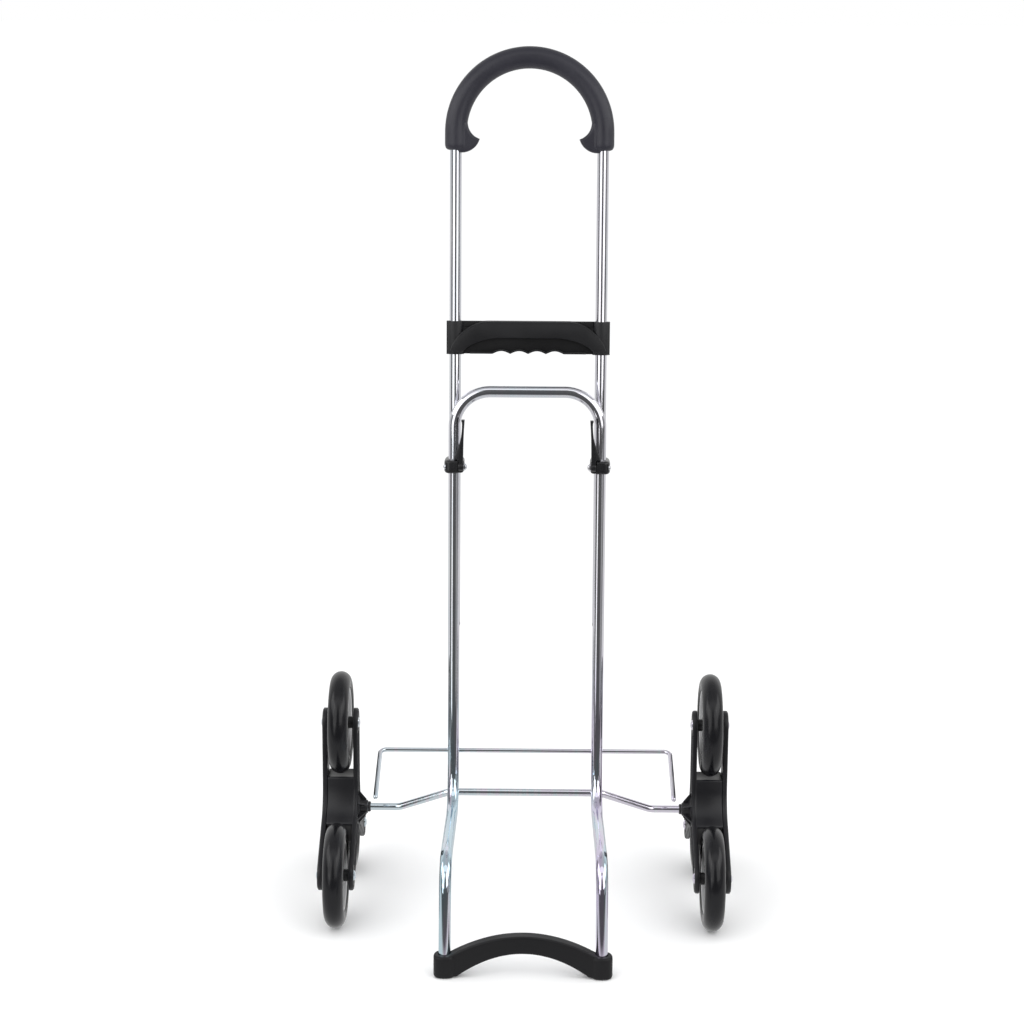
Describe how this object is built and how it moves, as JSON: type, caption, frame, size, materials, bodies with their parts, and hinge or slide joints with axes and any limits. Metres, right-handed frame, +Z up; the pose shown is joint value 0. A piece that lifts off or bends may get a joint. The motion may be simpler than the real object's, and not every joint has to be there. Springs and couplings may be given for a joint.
{
  "type": "shopping trolley frame on wheels",
  "caption": "Stair-climbing shopping trolley frame with a chromed tube platform, telescopic looped handle and wheel clusters that turn on a cranked axle.",
  "frame": {"origin": "centre of the bounding box seen from above, on the ground under the wheels and foot", "axes": "+X to the right along the axle, -Y towards the front foot, +Z up"},
  "size_m": [0.5032, 0.4151, 1.0457],
  "materials": {
    "chrome": "mirror plated",
    "zinc": "bright zinc plated",
    "black_plastic": "satin moulded",
    "grip_rubber": "soft satin",
    "tyre": "smooth, slightly glossy",
    "rim_grey": "satin moulded"
  },
  "bodies": {
    "frame": {"main_frame_tube": "chrome", "axle_rod": "chrome", "guard_wire": "chrome", "front_foot": "black_plastic", "clamp_body_left": "black_plastic", "clamp_bolt_left": "zinc", "clamp_nut_left": "zinc", "foot_screw_left": "zinc", "axle_collar_left": "black_plastic", "axle_cap_left": "black_plastic", "clamp_body_right": "black_plastic", "clamp_bolt_right": "zinc", "clamp_nut_right": "zinc", "foot_screw_right": "zinc", "axle_collar_right": "black_plastic", "axle_cap_right": "black_plastic"},
    "handle": {"handle_tube": "chrome", "grip": "grip_rubber", "brace_front": "black_plastic", "brace_back": "black_plastic", "brace_screw_left": "zinc", "tube_plug_left": "black_plastic", "brace_screw_right": "zinc", "tube_plug_right": "black_plastic"},
    "lever_left": {"clamp_lever_left": "black_plastic"},
    "star_left": {"star_inner_left": "black_plastic", "star_outer_left": "black_plastic", "hub_bush_left": "zinc", "wheel_pin_left_top": "zinc", "wheel_pin_left_front": "zinc", "wheel_pin_left_rear": "zinc"},
    "wheel_left_top": {"tyre_left_top": "tyre", "rim_left_top": "rim_grey", "wheel_bush_left_top": "black_plastic"},
    "wheel_left_front": {"tyre_left_front": "tyre", "rim_left_front": "rim_grey", "wheel_bush_left_front": "black_plastic"},
    "wheel_left_rear": {"tyre_left_rear": "tyre", "rim_left_rear": "rim_grey", "wheel_bush_left_rear": "black_plastic"},
    "lever_right": {"clamp_lever_right": "black_plastic"},
    "star_right": {"star_inner_right": "black_plastic", "star_outer_right": "black_plastic", "hub_bush_right": "zinc", "wheel_pin_right_top": "zinc", "wheel_pin_right_front": "zinc", "wheel_pin_right_rear": "zinc"},
    "wheel_right_top": {"tyre_right_top": "tyre", "rim_right_top": "rim_grey", "wheel_bush_right_top": "black_plastic"},
    "wheel_right_front": {"tyre_right_front": "tyre", "rim_right_front": "rim_grey", "wheel_bush_right_front": "black_plastic"},
    "wheel_right_rear": {"tyre_right_rear": "tyre", "rim_right_rear": "rim_grey", "wheel_bush_right_rear": "black_plastic"}
  },
  "joints": [
    {"name": "handle_slide", "type": "slide", "parent": "frame", "child": "handle", "axis": [0, 0.0807, 0.9967], "range_m": [-0.12, 0]},
    {"name": "lever_left", "type": "hinge", "parent": "frame", "child": "lever_left", "pos_m": [-0.088, 0.04363, 0.55058], "axis": [1, 0, 0], "range_deg": [0, 120]},
    {"name": "star_spin_left", "type": "hinge", "parent": "frame", "child": "star_left", "pos_m": [-0.2276, 0.0496, 0.1175], "axis": [1, 0, 0], "continuous": true},
    {"name": "wheel_spin_left_top", "type": "hinge", "parent": "star_left", "child": "wheel_left_top", "pos_m": [-0.2276, 0.0496, 0.2267], "axis": [1, 0, 0], "continuous": true},
    {"name": "wheel_spin_left_front", "type": "hinge", "parent": "star_left", "child": "wheel_left_front", "pos_m": [-0.2276, -0.04497, 0.0629], "axis": [1, 0, 0], "continuous": true},
    {"name": "wheel_spin_left_rear", "type": "hinge", "parent": "star_left", "child": "wheel_left_rear", "pos_m": [-0.2276, 0.14417, 0.0629], "axis": [1, 0, 0], "continuous": true},
    {"name": "lever_right", "type": "hinge", "parent": "frame", "child": "lever_right", "pos_m": [0.088, 0.04363, 0.55058], "axis": [1, 0, 0], "range_deg": [0, 120]},
    {"name": "star_spin_right", "type": "hinge", "parent": "frame", "child": "star_right", "pos_m": [0.2276, 0.0496, 0.1175], "axis": [1, 0, 0], "continuous": true},
    {"name": "wheel_spin_right_top", "type": "hinge", "parent": "star_right", "child": "wheel_right_top", "pos_m": [0.2276, 0.0496, 0.2267], "axis": [1, 0, 0], "continuous": true},
    {"name": "wheel_spin_right_front", "type": "hinge", "parent": "star_right", "child": "wheel_right_front", "pos_m": [0.2276, -0.04497, 0.0629], "axis": [1, 0, 0], "continuous": true},
    {"name": "wheel_spin_right_rear", "type": "hinge", "parent": "star_right", "child": "wheel_right_rear", "pos_m": [0.2276, 0.14417, 0.0629], "axis": [1, 0, 0], "continuous": true}
  ]
}
